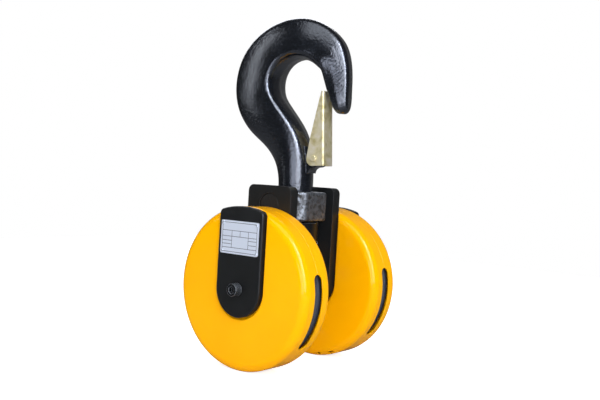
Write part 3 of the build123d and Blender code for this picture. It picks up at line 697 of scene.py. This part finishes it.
# %% Build the lock plate's screw heads
LOCK_HEAD_RADIUS = 4.8
LOCK_SOCKET = 4.8
small_low, small_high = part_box("lock_plate_screws")
plate_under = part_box("lock_plate")[0].z
small_radius = LOCK_HEAD_RADIUS * MM
small_height = plate_under - small_low.z
middle = (small_low + small_high) / 2
apart_x = small_high.x - small_low.x - 2 * small_radius
apart_y = small_high.y - small_low.y - 2 * small_radius
turn = math.atan2(apart_y, apart_x)
reach = math.hypot(apart_x, apart_y) / 2
for name, side in (("lock_screw_head_a", -1), ("lock_screw_head_b", 1)):
    head = screw_head(small_radius, small_height, LOCK_SOCKET * MM)
    spot = Vector((middle.x + side * reach * math.cos(turn),
                   middle.y + side * reach * math.sin(turn), plate_under))
    stand = Matrix.Translation(spot) @ Matrix.Rotation(math.pi, 4, "X")
    bmesh.ops.transform(head, matrix=stand, verts=head.verts)
    piece = add_piece(name, head, "hook", "screw_black")
    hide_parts("lock_plate_screws")
print("lock plate screws at a radius of", round(reach / MM, 2), "mm")

# %% [markdown]
# ## The floor
# The block stands on its casings on a white floor. A floor could be white by strong light,
# but the object would be bleached with it. So the floor is pale, and glows just enough, for
# the camera's rays alone, to come out white, and it still darkens where the block keeps the
# light off. In a mirrored ray it is dark, because a white floor would fill the black enamel
# and the casings' undersides with grey.

# %% Floor
FLOOR_HALF = 1.5
FLOOR_GLOW = 0.8
PALE, DARK = (0.8, 0.8, 0.8, 1), (0.15, 0.15, 0.15, 1)


def add_floor(height):
    mesh = bmesh.new()
    bmesh.ops.create_grid(mesh, x_segments=1, y_segments=1, size=FLOOR_HALF)
    bmesh.ops.translate(mesh, verts=mesh.verts, vec=(0, 0, height))
    data = bpy.data.meshes.new("floor")
    mesh.to_mesh(data)
    mesh.free()
    floor = bpy.data.objects.new("floor", data)
    bpy.context.scene.collection.objects.link(floor)
    return floor


def floor_finish():
    material, tree, shader, _ = new_finish(
        "white_studio_floor",
        {"Roughness": 0.9, "Specular IOR Level": 0.1, "Emission Color": (1, 1, 1, 1)})
    path = add_node(tree, "ShaderNodeLightPath")
    shown = add_node(tree, "ShaderNodeMath", {"operation": "MULTIPLY"}, {1: FLOOR_GLOW},
                     {0: path.outputs["Is Camera Ray"]})
    seen = add_node(tree, "ShaderNodeMix", {"data_type": "RGBA"}, {"A": PALE, "B": DARK},
                    {"Factor": path.outputs["Is Glossy Ray"]})
    feed(tree, shader, {"Emission Strength": shown.outputs[0],
                        "Base Color": seen.outputs["Result"]})
    return material


floor = add_floor(cad_box[0].z)
floor.data.materials.append(floor_finish())
print("floor at", round(cad_box[0].z, 4), "m")

# %% [markdown]
# ## The sky
# The camera sees plain white all round, and a strength of 1 is white, so the object's own
# light isn't raised for it. The light that the sky sheds is weaker, and lamps do the rest.
# What glossy black enamel looks like depends on what it mirrors. It could mirror the white
# too, but then it would be grey. In a real studio the room on the camera's side is dim and
# the wall behind the piece is lighter, so a mirrored ray sees a dim room that grows a little
# lighter towards the backdrop, and the black stays black between its highlights.

# %% Sky
SKY_FILL = 0.36
ROOM = 0.03
BACKDROP = 0.14
BACKDROP_SIDE = (-0.2, 0.98, 0.0)
BACKDROP_RIM, BACKDROP_MIDDLE = 0.5, 0.95

world = bpy.data.worlds.new("white_sky")
world.use_nodes = True
bpy.context.scene.world = world
sky = world.node_tree
sky.nodes.clear()
path = add_node(sky, "ShaderNodeLightPath")
mirrored = add_node(sky, "ShaderNodeMath", {"operation": "MAXIMUM"},
                    links={0: path.outputs["Is Glossy Ray"],
                           1: path.outputs["Is Transmission Ray"]})
direction = add_node(sky, "ShaderNodeTexCoord").outputs["Generated"]
towards = add_node(sky, "ShaderNodeVectorMath", {"operation": "DOT_PRODUCT"},
                   {1: BACKDROP_SIDE}, {0: direction})
studio = add_node(sky, "ShaderNodeMapRange", {"interpolation_type": "SMOOTHSTEP"},
                  {"From Min": BACKDROP_RIM, "From Max": BACKDROP_MIDDLE,
                   "To Min": ROOM, "To Max": BACKDROP},
                  {"Value": towards.outputs["Value"]})
lit = add_node(sky, "ShaderNodeMix", {"data_type": "FLOAT"}, {"A": SKY_FILL},
               {"Factor": mirrored.outputs[0], "B": studio.outputs["Result"]})
level = add_node(sky, "ShaderNodeMix", {"data_type": "FLOAT"}, {"B": 1.0},
                 {"Factor": path.outputs["Is Camera Ray"], "A": lit.outputs["Result"]})
background = add_node(sky, "ShaderNodeBackground", values={"Color": (1, 1, 1, 1)},
                      links={"Strength": level.outputs["Result"]})
add_node(sky, "ShaderNodeOutputWorld", links={"Surface": background.outputs["Background"]})
print("sky sheds", SKY_FILL, "of white")

# %% [markdown]
# ## Lamps
# A studio lights a glossy piece with soft panels and shapes each highlight by a panel's width
# and place. A glowing mesh could stand for a panel, but an area lamp gives less noise. The
# key is a wide panel to the right of the camera. A narrow, bright strip in front of it draws
# the fine line in each of its highlights, on the hook's neck and the casings' rims. A low
# panel to the left of the camera widens the neck's highlight. A second strip, far to the
# left, draws the line down the hook's flank. A panel overhead lights the crown, and one
# behind keeps the far side alive. Each is aimed at the middle of the block. A panel's glow
# is how many times as bright as white its face is, and its light on the block grows with
# its area.

# %% Lamps
LAMPS = (  # (name, azimuth and elevation in degrees, distance, width, height in m, glow, tint)
    ("key_panel", 50, 25, 1.5, 0.85, 1.65, 4.1, "#f2f6ff"),
    ("key_strip", 58, 32, 1.4, 0.09, 1.0, 24.0, "#e0e9ff"),
    ("front_panel", 18, 0, 1.4, 0.7, 0.5, 2.2, "#eaf0ff"),
    ("left_strip", -47, 22, 1.4, 0.09, 1.05, 4.3, "#f0f4f8"),
    ("top_panel", 30, 58, 1.6, 1.5, 0.9, 1.2, "#eef3f8"),
    ("back_panel", -128, 38, 1.7, 1.4, 0.9, 2.4, "#f8f9ff"))
aim = (cad_box[0] + cad_box[1]) / 2


def soft_panel(name, azimuth, elevation, distance, width, height, glow, tint):
    """An area lamp that looks at the block's middle; its face is that many times white."""
    turn, rise = math.radians(azimuth), math.radians(elevation)
    away = Vector((math.sin(turn) * math.cos(rise), -math.cos(turn) * math.cos(rise),
                   math.sin(rise)))
    data = bpy.data.lights.new(name, "AREA")
    data.shape = "RECTANGLE"
    data.size = width
    data.size_y = height
    data.energy = glow * math.pi * width * height
    data.color = linear(tint)[:3]
    lamp = bpy.data.objects.new(name, data)
    bpy.context.scene.collection.objects.link(lamp)
    lamp.location = aim + away * distance
    lamp.rotation_mode = "QUATERNION"
    lamp.rotation_quaternion = away.to_track_quat("Z", "Y")
    return lamp


for row in LAMPS:
    print("lamp", soft_panel(*row).name)

# %% [markdown]
# ## Camera
# The camera stands at about the height of the block's middle, to the right of the rating
# plate's side, so that the rounded rims and the hook's mouth both show. It has a slightly
# long normal lens and is turned a few degrees about its own axis, as a hand-held camera is.
# A constraint could aim it, but that would level it, so its three axes are written down.

# %% Camera
RIGHT = Vector((0.79605, 0.60231, 0.05936))
UP = Vector((-0.06576, -0.01141, 0.99777))
BACK = Vector((0.60164, -0.79818, 0.03052))
STANDPOINT = (0.6452, -0.8447, -0.1166)
FOCAL_LENGTH, SENSOR_WIDTH = 49.31, 36.0

lens = bpy.data.cameras.new("camera")
lens.lens = FOCAL_LENGTH
lens.sensor_width = SENSOR_WIDTH
camera = bpy.data.objects.new("camera", lens)
bpy.context.scene.collection.objects.link(camera)
camera.location = STANDPOINT
camera.rotation_mode = "QUATERNION"
camera.rotation_quaternion = Matrix((RIGHT, UP, BACK)).transposed().to_quaternion()
bpy.context.scene.camera = camera
bpy.context.scene.view_settings.view_transform = "Standard"
print("camera at", tuple(round(c, 3) for c in camera.location))
